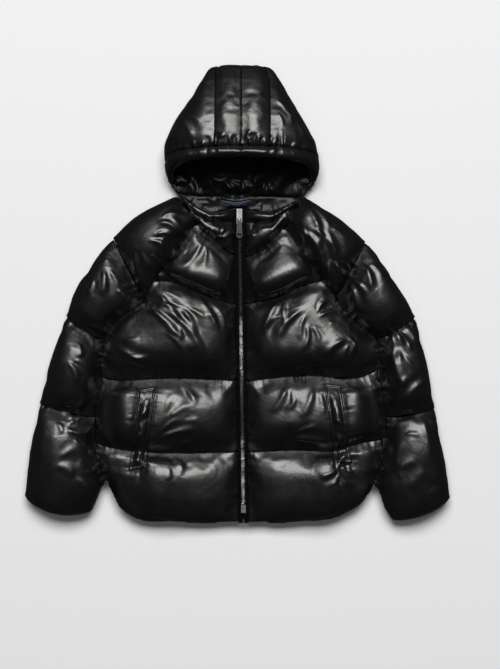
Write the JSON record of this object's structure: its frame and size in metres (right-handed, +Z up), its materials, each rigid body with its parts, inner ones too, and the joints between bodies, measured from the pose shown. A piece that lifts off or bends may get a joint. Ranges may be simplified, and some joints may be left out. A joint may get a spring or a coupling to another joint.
{
  "type": "hooded puffer jacket",
  "caption": "Hooded puffer jacket with a wet-look coated shell, zipped up and laid flat on its back, hood opening facing up.",
  "frame": {"origin": "centre of the jacket's bounding box, on the surface it lies on", "axes": "+Y from hem to hood, +Z up from the surface, +X the wearer's left"},
  "size_m": [0.74, 0.7981, 0.1045],
  "materials": {
    "coated_black": "polyurethane-coated black cloth with a wet-look gloss, quilted over padding",
    "zip_tape_black": "matt woven tape",
    "zip_metal": "gunmetal",
    "label_navy": "plain satin-woven label, no lettering"
  },
  "bodies": {
    "jacket": {"back_chest": "coated_black", "back_hem": "coated_black", "back_waist": "coated_black", "back_yoke": "coated_black", "collar_back": "coated_black", "collar_left_lower": "coated_black", "collar_left_upper": "coated_black", "collar_right_lower": "coated_black", "collar_right_upper": "coated_black", "front_left_chest": "coated_black", "front_left_hem": "coated_black", "front_left_waist": "coated_black", "front_left_yoke": "coated_black", "front_right_chest": "coated_black", "front_right_hem": "coated_black", "front_right_waist": "coated_black", "front_right_yoke": "coated_black", "hood_back": "coated_black", "hood_brim": "coated_black", "hood_centre_left": "coated_black", "hood_centre_right": "coated_black", "hood_side_left": "coated_black", "hood_side_right": "coated_black", "neck_label": "label_navy", "pocket_welt_left": "coated_black", "pocket_welt_right": "coated_black", "sleeve_left_cuff": "coated_black", "sleeve_left_forearm": "coated_black", "sleeve_left_shoulder": "coated_black", "sleeve_left_upper": "coated_black", "sleeve_right_cuff": "coated_black", "sleeve_right_forearm": "coated_black", "sleeve_right_shoulder": "coated_black", "sleeve_right_upper": "coated_black", "zip_box": "zip_metal", "zip_slider": "zip_metal", "zip_tape_left": "zip_tape_black", "zip_tape_right": "zip_tape_black", "zip_teeth_left": "zip_metal", "zip_teeth_right": "zip_metal"},
    "pull_tab": {"zip_pull": "zip_metal"}
  },
  "joints": [
    {"name": "pull_tab_swing", "type": "hinge", "parent": "jacket", "child": "pull_tab", "pos_m": [0.0035, 0.129, 0.0329], "axis": [-1, 0, 0], "range_deg": [0, 165]}
  ]
}
